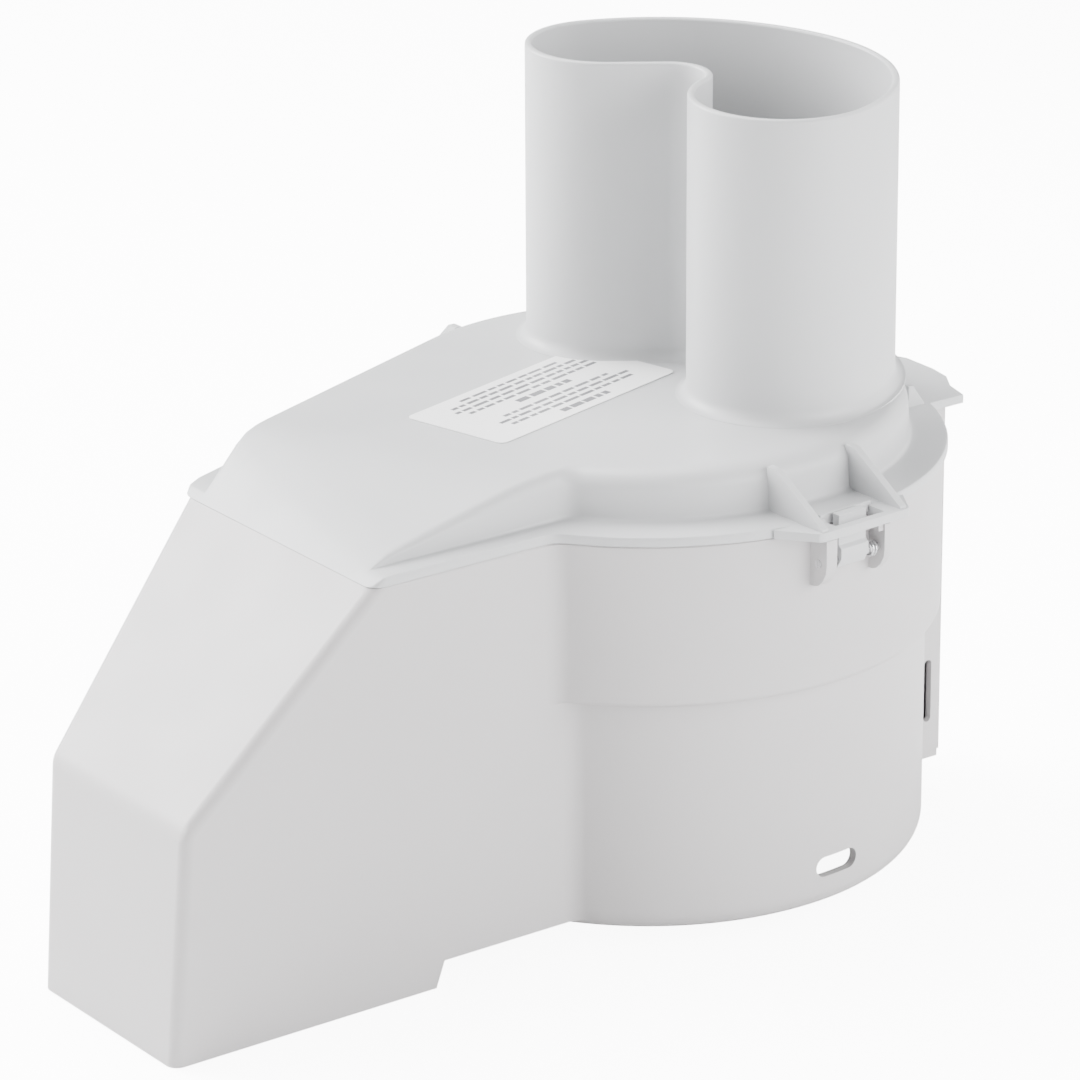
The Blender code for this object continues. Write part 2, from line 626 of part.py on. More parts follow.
def make_cutting_disc(finish, spin):
    top = DISC_Z + DISC_T
    disc = tube("cutting_disc", 12.5 + GAP, DISC_R, DISC_Z, top)
    knife_frame = Matrix.Rotation(math.radians(150), 4, "Z")
    cut(disc, box("mouth", (24, -9, 120), (78, -1, 150), knife_frame))
    edge = [(20, 2), (20, -1), (50, -4), (79, -1), (79, 7), (52, 15), (24, 15)]
    blade_z, blade_t = top + GAP, 1.4
    blade = extrude("slicing_blade", edge, blade_z, blade_z + blade_t, knife_frame)
    shank_r, head_z = 1.4, blade_z + blade_t + GAP
    for number, (u, v) in enumerate(((30, 10), (51, 11), (71, 5)), start=1):
        where = knife_frame @ Vector((u, v, 0))
        spot = (where.x, where.y)
        for drilled in (disc, blade):
            cut(drilled, cylinder("hole", shank_r + GAP, 120, 150, spot, SMALL))
        profile = [
            (0, DISC_Z - 1), (shank_r, DISC_Z - 1), (shank_r, head_z), (3, head_z), (3, head_z + 0.8),
            (2.2, head_z + 1.3), (0, head_z + 1.3)]
        screw = turn("blade_screw_%d" % number, profile, SMALL, spot)
        dress(screw, finish["steel"], spin)
    dress(disc, finish["steel"], spin)
    dress(blade, finish["steel"], spin)


# --- Latches and interlock --------------------------------------------------------------------------
def make_latch(place, side, finish, pivot):
    """A sprung catch on its pin: a pad to press at the front, nose up through the lid's slot."""
    frame = bracket_side_frame(side)
    outline = [
        (99.8, 142.5), (99.8, 130.6), (98.9, 128.6), (99.3, 125.2), (101.0, 124.2), (102.6, 124.2),
        (104.6, 127.6), (104.6, 131.2), (103.2, 132.2), (103.2, 142.5)]
    lever = extrude("latch_lever_" + place, outline, -7, 5, frame)
    hole = arc((LATCH_RHO, LATCH_Z), LATCH_PIN_R + GAP, 0, 360, SMALL)[:-1]
    cut(lever, extrude("pin_way", hole, -20, 20, frame))
    dress(lever, finish["lid_plastic"], pivot)


def make_interlock(finish, slide):
    spot = (ROD_X, ROD_Y)
    profile = [(0, 14), (1.3, 14), (ROD_R, 14.5), (ROD_R, 136.6), (1.2, RIM_Z), (0, RIM_Z)]
    rod = turn("interlock_rod", profile, SMALL, spot)
    dress(rod, finish["steel"], slide)
    magnet = tube("rod_magnet", ROD_R + GAP, 2.7, 17, 46, spot, SMALL)
    dress(magnet, finish["magnet"], slide)
    clip_z = 86.0
    clip = tube("rod_clip", ROD_R + GAP, 2.7, clip_z, clip_z + 1.4, spot, SMALL)
    dress(clip, finish["steel"], slide)
    # Return spring between the column's shelf and the clip.
    low, high, wire, coil_r, turns = SHELF_Z + WALL + 0.7, clip_z - 0.6, 0.22, 2.4, 9
    curve = bpy.data.curves.new("interlock_spring", "CURVE")
    curve.dimensions = "3D"
    curve.bevel_depth = wire * MM
    curve.bevel_resolution = 1
    curve.use_fill_caps = True
    count = turns * 12
    spline = curve.splines.new("POLY")
    spline.points.add(count)
    for i in range(count + 1):
        a = 2 * math.pi * turns * i / count
        point = (ROD_X + coil_r * math.cos(a), ROD_Y + coil_r * math.sin(a), low + (high - low) * i / count)
        spline.points[i].co = (*(Vector(point) * MM), 1.0)
    obj = bpy.data.objects.new("interlock_spring", curve)
    bpy.context.scene.collection.objects.link(obj)
    dress(obj, finish["steel"], slide, smooth=False)


def main():
    clear_scene()
    finish = make_materials()
    root = empty("drum_axis", (0, 0, 0))
    make_housing(finish, root)
    make_housing_fittings(finish, root)
    lid_pivot = empty("lid_hinge", HINGE, root)
    make_lid(finish, lid_pivot)
    spin = empty("disc_spin", (0, 0, 0), root)
    spin.location = (0, 0, 0)
    make_drive(finish, spin)
    for side, place in ((-1, "front"), (1, "rear")):
        angle = side * BRACKET_ANGLE
        pin = (LATCH_RHO * math.cos(angle), LATCH_RHO * math.sin(angle), LATCH_Z)
        make_latch(place, side, finish, empty("latch_%s_pivot" % place, pin, root))
    make_interlock(finish, empty("interlock_slide", (ROD_X, ROD_Y, RIM_Z), root))


main()
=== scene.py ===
"""Looks of the feed head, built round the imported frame.

The visible shells (housing, lid, hopper, catches and label) are drawn again here with rounded edges and
fillets, in millimetres from the drum's axis and the skirt's bottom edge, with the chute towards -X.
PLACE stands that drawing in the frame.  Everything inside keeps its CAD solid with a moulded, turned or
brushed finish.
"""

import json
import math
import random

import bmesh
import bpy
from mathutils import Matrix, Vector


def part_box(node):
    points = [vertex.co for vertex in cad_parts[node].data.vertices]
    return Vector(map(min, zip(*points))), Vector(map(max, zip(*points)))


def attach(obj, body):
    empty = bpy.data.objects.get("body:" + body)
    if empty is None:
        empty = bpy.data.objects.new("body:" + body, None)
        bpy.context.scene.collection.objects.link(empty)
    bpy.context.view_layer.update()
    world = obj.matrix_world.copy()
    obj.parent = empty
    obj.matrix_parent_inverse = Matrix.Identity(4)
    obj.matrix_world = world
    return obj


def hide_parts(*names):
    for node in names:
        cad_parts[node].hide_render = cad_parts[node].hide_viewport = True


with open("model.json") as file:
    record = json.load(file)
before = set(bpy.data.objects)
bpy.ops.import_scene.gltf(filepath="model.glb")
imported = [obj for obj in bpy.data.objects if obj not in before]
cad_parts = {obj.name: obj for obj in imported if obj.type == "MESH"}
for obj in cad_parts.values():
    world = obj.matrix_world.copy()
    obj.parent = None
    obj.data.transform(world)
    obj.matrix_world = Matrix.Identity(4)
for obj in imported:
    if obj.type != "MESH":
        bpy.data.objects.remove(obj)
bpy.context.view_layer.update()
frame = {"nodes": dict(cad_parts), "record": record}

# --- Where the drawing stands, from the frame ------------------------------------------------------
MM = 0.001
FOOT_DROP = 5.3                     # the chute's lip hangs this far below the skirt
disc_low, disc_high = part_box("cutting_disc")
body_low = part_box("base_housing")[0]
AXIS = Vector(((disc_low.x + disc_high.x) / 2, 0.0, body_low.z + FOOT_DROP * MM))
PLACE = Matrix.Translation(AXIS) @ Matrix.Scale(MM, 4)


def span(node):
    """Lowest and highest corner of a CAD node in the drawing's millimetres."""
    low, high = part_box(node)
    return (low - AXIS) / MM, (high - AXIS) / MM


BODY_LOW, BODY_HIGH = span("base_housing")
LID_HIGH = span("lid_cover")[1]
HOPPER_LOW, HOPPER_HIGH = span("feed_hopper")

# --- Driving dimensions, millimetres ---------------------------------------------------------------
WALL = 3.0
DRUM_R = 98.5
SKIRT_R = 93.5
SKIRT_ROLL = 8.0
STEP_Z = 81.7
STEP_ROUND = 2.4                    # rounded lower edge of the wider drum
RIM_Z = BODY_HIGH.z
CHUTE_NEAR_Y = -57.8
CHUTE_TURN = math.radians(20.5)
FOOT_X, FOOT_Z = BODY_LOW.x, BODY_LOW.z
BROW_X, BROW_Z = -222.8, 73.2
SEAM_X = -151.0
LIP_X = -128.6
UNDERSIDE_Z = 3.6
CORNER_R = 9.0                      # concave fillet between chute and drum
EDGE_R = 4.0                        # rounded edges of the chute

FLANGE_Z = RIM_Z + 0.3
FLANGE_T = 3.5
FLANGE_R = 100.0
DOME_R = 88.5
LID_LEDGE = FLANGE_R - DOME_R
DOME_X, DOME_Y = 1.0, 3.5
DOME_NEAR_Y = -50.0
DOME_Z = LID_HIGH.z
HOPPER_R = 84.0
HOPPER_X, HOPPER_Y = 3.5, -2.0
HOPPER_WALL = 2.5
BRACKET_ANGLE = math.radians(87.0)
WINDOW_ANGLE = math.radians(85.0)
SLOPE = (RIM_Z - BROW_Z) / (SEAM_X - BROW_X)
FINE = 128


# --- Mesh helpers -----------------------------------------------------------------------------------
def finish_mesh(name, bm):
    """A bmesh drawn in millimetres becomes an object standing in the frame, its faces pointing out."""
    bmesh.ops.recalc_face_normals(bm, faces=bm.faces)
    bmesh.ops.transform(bm, matrix=PLACE, verts=bm.verts)
    mesh = bpy.data.meshes.new(name)
    bm.to_mesh(mesh)
    bm.free()
    obj = bpy.data.objects.new(name, mesh)
    bpy.context.scene.collection.objects.link(obj)
    return obj


def loft(name, rings, capped=True):
    """Skin over a list of rings of (x, y, z) points, all with the same number of points."""
    bm = bmesh.new()
    loops = [[bm.verts.new(point) for point in ring] for ring in rings]
    count = len(loops[0])
    pairs = list(zip(loops, loops[1:]))
    if not capped:
        pairs.append((loops[-1], loops[0]))
    for low, high in pairs:
        for i in range(count):
            j = (i + 1) % count
            bm.faces.new([low[i], low[j], high[j], high[i]])
    if capped:
        bm.faces.new(loops[0])
        bm.faces.new(loops[-1])
    bmesh.ops.remove_doubles(bm, verts=bm.verts, dist=0.004)
    bmesh.ops.dissolve_degenerate(bm, edges=bm.edges, dist=0.002)
    return finish_mesh(name, bm)


def extrude(name, outline, z0, z1, turned=None, bevel=0.0):
    """A prism over an outline of (u, v) points from w = z0 to z1, turned by a matrix, edges rounded."""
    bm = bmesh.new()
    face = bm.faces.new([bm.verts.new((u, v, z0)) for u, v in outline])
    lifted = bmesh.ops.extrude_face_region(bm, geom=[face])["geom"]
    moved = [item for item in lifted if isinstance(item, bmesh.types.BMVert)]
    bmesh.ops.translate(bm, verts=moved, vec=(0, 0, z1 - z0))
    if turned is not None:
        bmesh.ops.transform(bm, matrix=turned, verts=bm.verts)
    if bevel:
        bmesh.ops.recalc_face_normals(bm, faces=bm.faces)
        sharp = [e for e in bm.edges if e.calc_face_angle(0) > math.radians(30)]
        bmesh.ops.bevel(bm, geom=sharp, offset=bevel, segments=2, profile=0.5, affect="EDGES")
    return finish_mesh(name, bm)


def turn(name, profile, steps=FINE, centre=(0.0, 0.0)):
    """A solid of revolution about Z: a closed (r, z) profile, or one whose ends lie on the axis."""
    bm = bmesh.new()
    rings = []
    for r, z in profile:
        if r == 0.0:
            rings.append([bm.verts.new((0, 0, z))] * steps)
            continue
        angles = [2 * math.pi * i / steps for i in range(steps)]
        rings.append([bm.verts.new((r * math.cos(a), r * math.sin(a), z)) for a in angles])
    pairs = list(zip(rings, rings[1:]))
    if profile[0][0] > 0.0:
        pairs.append((rings[-1], rings[0]))
    for lower, upper in pairs:
        for i in range(steps):
            j = (i + 1) % steps
            bm.faces.new(list(dict.fromkeys([lower[i], lower[j], upper[j], upper[i]])))
    bmesh.ops.translate(bm, verts=bm.verts, vec=(*centre, 0))
    return finish_mesh(name, bm)


def cylinder(name, r, z0, z1, centre=(0.0, 0.0), steps=FINE):
    return turn(name, [(0, z0), (r, z0), (r, z1), (0, z1)], steps, centre)


def tube(name, inner, outer, z0, z1, centre=(0.0, 0.0), steps=FINE):
    return turn(name, [(inner, z0), (outer, z0), (outer, z1), (inner, z1)], steps, centre)


def box(name, low, high, turned=None, bevel=0.0):
    outline = [(low[0], low[1]), (high[0], low[1]), (high[0], high[1]), (low[0], high[1])]
    return extrude(name, outline, low[2], high[2], turned, bevel)


def combine(target, tool, operation):
    """Apply one exact Boolean to target, weld what it leaves, and use the tool up."""
    modifier = target.modifiers.new("combine", "BOOLEAN")
    modifier.operation = operation
    modifier.solver = "EXACT"
    modifier.object = tool
    graph = bpy.context.evaluated_depsgraph_get()
    mesh = bpy.data.meshes.new_from_object(target.evaluated_get(graph))
    target.modifiers.clear()
    bm = bmesh.new()
    bm.from_mesh(mesh)
    bmesh.ops.remove_doubles(bm, verts=bm.verts, dist=5e-6)
    bmesh.ops.dissolve_degenerate(bm, edges=bm.edges, dist=1e-6)
    bm.to_mesh(mesh)
    bm.free()
    target.data = mesh
    bpy.data.objects.remove(tool, do_unlink=True)
    return target


def join(target, tool):
    return combine(target, tool, "UNION")


def cut(target, tool):
    return combine(target, tool, "DIFFERENCE")


def keep(target, tool):
    return combine(target, tool, "INTERSECT")


def show(obj, material, body, nodes=(), angle=32):
    """Shade a finished piece, give it its material, and hang it on its body in place of its CAD nodes."""
    obj.data.materials.clear()
    obj.data.materials.append(material)
    obj.data.shade_smooth()
    obj.data.set_sharp_from_angle(angle=math.radians(angle))
    normals = obj.modifiers.new("flat faces stay flat", "WEIGHTED_NORMAL")
    normals.keep_sharp = True
    normals.weight = 60
    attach(obj, body)
    if nodes:
        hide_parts(*nodes)
    return obj


# --- Outlines ---------------------------------------------------------------------------------------
SIDE = Matrix(((1, 0, 0, 0), (0, 0, -1, 0), (0, 1, 0, 0), (0, 0, 0, 1)))     # u = x, v = z, w = -y


def bracket_frame(side, turned=BRACKET_ANGLE):
    """Directions at a catch: u = along the rim towards +X, v = out, w = up."""
    out = Vector((math.cos(turned), side * math.sin(turned), 0))
    along = Vector((math.sin(turned), -side * math.cos(turned), 0))
    return Matrix(((along.x, out.x, 0, 0), (along.y, out.y, 0, 0), (0, 0, 1, 0), (0, 0, 0, 1)))


def bracket_side_frame(side):
    """At a catch: u = out, v = up, w = along the rim towards +X."""
    flat = bracket_frame(side)
    along, out, up = flat.col[0], flat.col[1], flat.col[2]
    return Matrix((
        (out.x, up.x, along.x, 0), (out.y, up.y, along.y, 0), (out.z, up.z, along.z, 0), (0, 0, 0, 1)))


def slot_frame(side):
    """For the windows low in the skirt: u = along the rim, v = up, w = out."""
    flat = bracket_frame(side, WINDOW_ANGLE)
    along, out, up = flat.col[0], flat.col[1], flat.col[2]
    return Matrix((
        (along.x, up.x, out.x, 0), (along.y, up.y, out.y, 0), (along.z, up.z, out.z, 0), (0, 0, 0, 1)))


def arc(centre, r, start, end, steps):
    angles = [math.radians(start + (end - start) * i / steps) for i in range(steps + 1)]
    return [(centre[0] + r * math.cos(a), centre[1] + r * math.sin(a)) for a in angles]


def between(a, b, steps):
    """Points from a towards b, without b."""
    return [(a[0] + (b[0] - a[0]) * i / steps, a[1] + (b[1] - a[1]) * i / steps) for i in range(steps)]


def far_y(x, radius):
    return (radius + math.sin(CHUTE_TURN) * x) / math.cos(CHUTE_TURN)


def rounded(before, corner, after, radius, steps):
    """An arc of this radius in place of a corner of an outline."""
    corner = Vector(corner)
    a = (Vector(before) - corner).normalized()
    b = (Vector(after) - corner).normalized()
    half = a.angle(b) / 2
    centre = corner + (a + b).normalized() * radius / math.sin(half)
    start = corner + a * radius / math.tan(half) - centre
    end = corner + b * radius / math.tan(half) - centre
    swing = start.angle_signed(end)
    return [tuple(centre + Matrix.Rotation(-swing * i / steps, 2) @ start) for i in range(steps + 1)]


def plan(near_y, radius, far_radius, end_x, corner=CORNER_R, wall_steps=1, arc_steps=110, end_r=0.0):
    """Drum and chute from above: drum arc, slanted far wall, end, near wall, concave corner."""
    centre = (-math.sqrt((radius + corner) ** 2 - (near_y - corner) ** 2), near_y - corner)
    start = math.degrees(math.atan2(centre[1], centre[0]))
    leave = 90 + math.degrees(CHUTE_TURN)
    points = arc((0, 0), radius, start, leave, arc_steps)
    first_x = -far_radius * math.sin(CHUTE_TURN) - 1.0
    first = (first_x, far_y(first_x, far_radius))
    far_end, near_end = (end_x, far_y(end_x, far_radius)), (end_x, near_y)
    if end_r:
        far_round = rounded(first, far_end, near_end, end_r, 6)
        near_round = rounded(far_end, near_end, (centre[0], near_y), end_r, 6)
        points += between(first, far_round[0], wall_steps) + far_round[:-1]
        points += between(far_round[-1], near_round[0], wall_steps // 2) + near_round[:-1]
        points += between(near_round[-1], (centre[0], near_y), wall_steps)
    else:
        points += between(first, far_end, wall_steps)
        points += between(far_end, near_end, max(1, wall_steps // 2))
        points += between(near_end, (centre[0], near_y), wall_steps)
    points += arc(centre, corner, 90, start + 180, 10)[:-1]
    return points


def straight_plan(near_y, radius, end_x):
    """The chute's inside from above, from past its end wall to the middle of the drum."""
    touch = (-radius * math.sin(CHUTE_TURN), radius * math.cos(CHUTE_TURN))
    return [(end_x, near_y), (0, near_y), (0, radius * 0.6), touch, (end_x, far_y(end_x, radius))]


def slope_inset(depth):
    length = math.hypot(1.0, SLOPE)
    sx, sz = 1 / length, SLOPE / length
    brow_x = BROW_X + depth
    brow_z = BROW_Z + depth * SLOPE - depth / sx
    return (brow_x, brow_z), (SEAM_X + depth / sz, RIM_Z)


def kidney(grow):
    """The hopper's outer wall from above, moved outwards by grow.

    Arcs in order: the outer arc, the rear end cap, the notch round the hub (hollow side out), the front
    lobe, and a slow arc that leads the lobe back into the outer arc.
    """
    cap_r, lobe_r, slow_r = 27.1, 31.6, 65.0
    cap_angle = 71.3
    outer = (HOPPER_X, HOPPER_Y)
    cap = (HOPPER_X + (HOPPER_R - cap_r) * math.cos(math.radians(cap_angle)),
           HOPPER_Y + (HOPPER_R - cap_r) * math.sin(math.radians(cap_angle)))
    lobe = (31.6, -31.8)
    notch = (15.2, 8.5)
    notch_r = math.dist(notch, lobe) - lobe_r
    down = math.degrees(math.atan2(lobe[1] - notch[1], lobe[0] - notch[0]))
    # A straight wall touches the cap and the notch from opposite sides, which fixes its direction.
    towards = math.degrees(math.atan2(notch[1] - cap[1], notch[0] - cap[0])) % 360
    leave = towards - math.degrees(math.acos((cap_r + notch_r) / math.dist(cap, notch)))
    # The slow arc touches the outer arc and the lobe from inside, which fixes its centre.
    ux, uy = lobe[0] - HOPPER_X, lobe[1] - HOPPER_Y
    to_lobe = math.hypot(ux, uy)
    from_outer = HOPPER_R - slow_r
    from_lobe = slow_r - lobe_r
    along = (from_outer ** 2 - from_lobe ** 2 + to_lobe ** 2) / (2 * to_lobe)
    aside = math.sqrt(from_outer ** 2 - along ** 2)
    slow = (HOPPER_X + (along * ux - aside * uy) / to_lobe, HOPPER_Y + (along * uy + aside * ux) / to_lobe)
    slow_end = math.degrees(math.atan2(slow[1] - HOPPER_Y, slow[0] - HOPPER_X))
    slow_start = math.degrees(math.atan2(lobe[1] - slow[1], lobe[0] - slow[0]))
    points = arc(outer, HOPPER_R + grow, slow_end, cap_angle, 44)
    points += arc(cap, cap_r + grow, cap_angle, leave, 40)[1:]
    points += arc(notch, notch_r - grow, leave - 180, down, 24)
    points += arc(lobe, lobe_r + grow, down + 180, 360 + slow_start, 44)[1:]
    points += arc(slow, slow_r + grow, slow_start, slow_end, 24)[1:-1]
    return points


def obround(length, height, steps=10):
    half, r = length / 2 - height / 2, height / 2
    return arc((half, 0), r, -90, 90, steps) + arc((-half, 0), r, 90, 270, steps)


# --- Housing ----------------------------------------------------------------------------------------
def roll_r(z):
    """Radius of the skirt's outside at height z: its lower edge is rolled in."""
    if z >= SKIRT_ROLL:
        return SKIRT_R
    return SKIRT_R - SKIRT_ROLL + math.sqrt(SKIRT_ROLL ** 2 - (SKIRT_ROLL - z) ** 2)


def housing_outside():
    """Drum, skirt and chute as one solid, with a flowing corner where they meet."""
    far, end_x = DRUM_R, FOOT_X - 20

    def level(z, radius, inset=0.0):
        outline = plan(CHUTE_NEAR_Y + inset, radius - inset, far - inset, end_x)
        return [(x, y, z) for x, y in outline]

    low = [UNDERSIDE_Z + (SKIRT_ROLL - UNDERSIDE_Z) * i / 4 for i in range(5)]
    rings = [level(FOOT_Z - 5, roll_r(UNDERSIDE_Z))]
    rings += [level(z, roll_r(z)) for z in low]
    rings += [level(STEP_Z, SKIRT_R)]
    rings += [level(STEP_Z + r, DRUM_R + u) for u, r in arc((-STEP_ROUND, STEP_ROUND), STEP_ROUND, -90, 0, 5)]
    rings += [level(RIM_Z - 0.5, DRUM_R), level(RIM_Z, DRUM_R, 0.5)]
    solid = loft("housing_shell", rings)
    profile = [
        (FOOT_X, FOOT_Z), (LIP_X, FOOT_Z), (LIP_X + 3.3, UNDERSIDE_Z), (130, UNDERSIDE_Z),
        (130, RIM_Z + 5), (SEAM_X, RIM_Z + 5), (SEAM_X, RIM_Z), (BROW_X, BROW_Z)]
    keep(solid, extrude("side", profile, -130, 130, SIDE))
    round_chute_edges(solid)
    floor_r = roll_r(UNDERSIDE_Z) - 0.05
    roll = [(roll_r(UNDERSIDE_Z * i / 5), UNDERSIDE_Z * i / 5) for i in range(5)]
    join(solid, turn("roll", [(0, 0)] + roll + [(floor_r, UNDERSIDE_Z - 0.05), (floor_r, 12), (0, 12)]))
    return solid


def round_chute_edges(solid):
    """Round the chute's long edges; the seam and the open bottom stay crisp."""
    bm = bmesh.new()
    bm.from_mesh(solid.data)
    bmesh.ops.dissolve_limit(bm, angle_limit=math.radians(0.6), verts=bm.verts, edges=bm.edges)
    limit = AXIS.x + (SEAM_X + 12) * MM
    chosen = []
    for edge in bm.edges:
        if len(edge.link_faces) != 2 or edge.calc_face_angle(0) < math.radians(20):
            continue
        if max(v.co.x for v in edge.verts) > limit:
            continue
        if any(abs(face.normal.z) > 0.95 for face in edge.link_faces):
            continue
        chosen.append(edge)
    bmesh.ops.bevel(bm, geom=chosen, offset=EDGE_R * MM, segments=6, profile=0.5, affect="EDGES",
                    clamp_overlap=True)
    bm.to_mesh(solid.data)
    bm.free()


def ramp_x(z, back=0.0):
    top_x, top_z = -97.0, STEP_Z + WALL
    slope = (LIP_X - WALL - top_x) / (FOOT_Z - top_z)
    return top_x + (z - top_z) * slope + back


def cut_insides(solid):
    below, above, floor_z = FOOT_Z - 3, RIM_Z + 10, STEP_Z + WALL
    inner, end_x = DRUM_R - WALL - 0.6, FOOT_X - 10
    (brow_x, brow_z), (seam_x, seam_z) = slope_inset(WALL)
    duct = extrude("duct", [
        (FOOT_X + WALL - 0.25, below), (ramp_x(below), below), (ramp_x(floor_z), floor_z), (-50, floor_z),
        (-50, above), (seam_x, above), (seam_x, seam_z), (brow_x, brow_z)], -110, 110, SIDE)
    keep(duct, extrude("plan", straight_plan(CHUTE_NEAR_Y + WALL, inner, end_x), -20, 160))
    cut(solid, duct)
    top = STEP_Z - 0.5
    pocket = extrude("pocket", [
        (ramp_x(below, WALL + 0.4), below), (-45, below), (-45, top), (ramp_x(top, WALL + 0.4), top)],
        -110, 110, SIDE)
    keep(pocket, extrude("plan", straight_plan(CHUTE_NEAR_Y + WALL, inner, end_x), -20, 160))
    cut(pocket, cylinder("core", SKIRT_R, -20, 160))
    cut(solid, pocket)
    cut(solid, cylinder("drum_bore", DRUM_R - WALL, floor_z, RIM_Z + 20))
    roll = (SKIRT_R - SKIRT_ROLL, SKIRT_ROLL)
    mouth = SKIRT_R - SKIRT_ROLL - WALL
    inside = [(0, -20), (mouth, -20), (mouth, WALL)] + arc(roll, SKIRT_ROLL - WALL, -90, 0, 8)
    inside += [(SKIRT_R - WALL, STEP_Z), (0, STEP_Z)]
    cut(solid, turn("skirt_bore", inside))
    cut(solid, cylinder("boss_way", 14.6, 70, 100, steps=64))
    join(solid, tube("boss", 12.2, 17.0, 62, 100, steps=64))


COLUMN_Y0, COLUMN_Y1, COLUMN_R, COLUMN_FOOT_Z = -29.0, 21.0, 109.0, 9.9


def column_block(y0, y1, inner, outer, z0, z1):
    block = tube("column", inner, outer, z0, z1)
    return keep(block, box("slab", (60, y0, z0 - 5), (outer + 5, y1, z1 + 5)))


def hollow_column(solid):
    rod = (101.75, -20.0)
    inner, outer, shelf_z = DRUM_R + 2.1, COLUMN_R - 2.2, 52.0
    cut(solid, column_block(COLUMN_Y0 + 2.5, -12, inner, outer, 0, shelf_z))
    cut(solid, column_block(COLUMN_Y0 + 2.5, -12, inner, outer, shelf_z + WALL, RIM_Z - WALL))
    cut(solid, column_block(-8, 14.5, inner, outer, 0, RIM_Z - WALL))
    cut(solid, cylinder("rod_way", 2.1, 10, RIM_Z + 5, rod, 32))
    window = [(u + 99.5, v + 32.5) for v, u in obround(23, 3.2)]
    cut(solid, extrude("window", window, -COLUMN_Y0 - 4, -COLUMN_Y0 + 3, SIDE))


def add_ears(solid, side):
    """The pair of ears that carries a catch's pin."""
    upright = bracket_side_frame(side)
    top = RIM_Z - 1.6
    ear = [(90, 118.8), (99.6, 118.8), (101.6, 119.6), (103.6, 121.6), (105.0, 124.2), (105.4, 127)]
    ear += [(105.4, top), (90, top)]
    for w, thick in ((-14.0, 4.5), (11.0, 2.5)):
        join(solid, extrude("ear", ear, w, w + thick, upright))
    join(solid, extrude("bridge", [(90, top - 2.2), (104.6, top - 2.2), (104.6, top - 0.1), (90, top - 0.1)],
                        -12, 12, upright))


def make_housing(material):
    solid = housing_outside()
    join(solid, column_block(COLUMN_Y0, COLUMN_Y1, 80, COLUMN_R, COLUMN_FOOT_Z, RIM_Z - 0.2))
    for side in (-1, 1):
        add_ears(solid, side)
    cut_insides(solid)
    hollow_column(solid)
    for side in (-1, 1):
        window = [(u, v + 15.1) for u, v in obround(18, 7)]
        cut(solid, extrude("slot", window, 80, 100, slot_frame(side)))
        cut(solid, box("nose_way", (-9.0, 98.9, 100), (9.0, 105.8, 150), bracket_frame(side)))
    for k in range(3):
        lug = box("lug", (-9, 86.5, 12), (9, SKIRT_R - 1.5, 17),
                  Matrix.Rotation(math.radians(25 + 120 * k), 4, "Z"))
        join(solid, lug)
    show(solid, material, "housing", ("base_housing",))


# --- Lid --------------------------------------------------------------------------------------------
def soft_min(a, b, width):
    """The smaller of two heights, with the crease between them rounded over a height of width."""
    h = max(width - abs(a - b), 0.0) / width
    return min(a, b) - h * h * width / 4


def slope_z(x):
    """The hood's slope carried on up over the lid."""
    return RIM_Z + 0.05 + (x - SEAM_X) * SLOPE


def fall_z(x, y):
    """Over the chute the lid's near side falls away in a plane that turns with the far wall."""
    a = Vector((-80, DOME_NEAR_Y, DOME_Z))
    b = Vector((-142, DOME_NEAR_Y, DOME_Z - 12.9))
    c = Vector((-126, 45, DOME_Z))
    normal = (b - a).cross(c - a)
    return a.z - (normal.x * (x - a.x) + normal.y * (y - a.y)) / normal.z


def top_z(x, y):
    height = soft_min(DOME_Z, fall_z(x, y), 2.5)
    return soft_min(height, slope_z(x), 4.0)


def base_z(x):
    return soft_min(FLANGE_Z + FLANGE_T, slope_z(x), 1.5)


def lid_ring(inset, rise, end_inset=0.0):
    """One line round the lid: inset runs from the flange's edge (0) to the dome's (1) and beyond.

    rise goes from the flange's top (0) to the dome's (1); end_inset moves the hood's end wall in.
    """
    near = CHUTE_NEAR_Y - 0.3 + inset * (DOME_NEAR_Y - DOME_Y - CHUTE_NEAR_Y + 0.3)
    radius = FLANGE_R + inset * (DOME_R - FLANGE_R)
    end_x = SEAM_X + 0.1 + end_inset - inset * DOME_X
    outline = plan(near, radius, radius, end_x, CORNER_R + 1, 24, 110, 5.0)
    ring = []
    for flat_x, flat_y in outline:
        x, y = flat_x + inset * DOME_X, flat_y + inset * DOME_Y
        low = base_z(x)
        ring.append((x, y, low + rise * max(top_z(x, y) - low, 0.0)))
    return ring


def crown(ring, shares, height):
    """Rings that shrink towards the lid's middle over its top."""
    middle = Vector((-28.0, 4.0))
    rings = []
    for share in shares:
        made = []
        for x, y, _ in ring:
            px = middle.x + (x - middle.x) * share
            py = middle.y + (y - middle.y) * share
            made.append((px, py, height(px, py)))
        rings.append(made)
    return rings


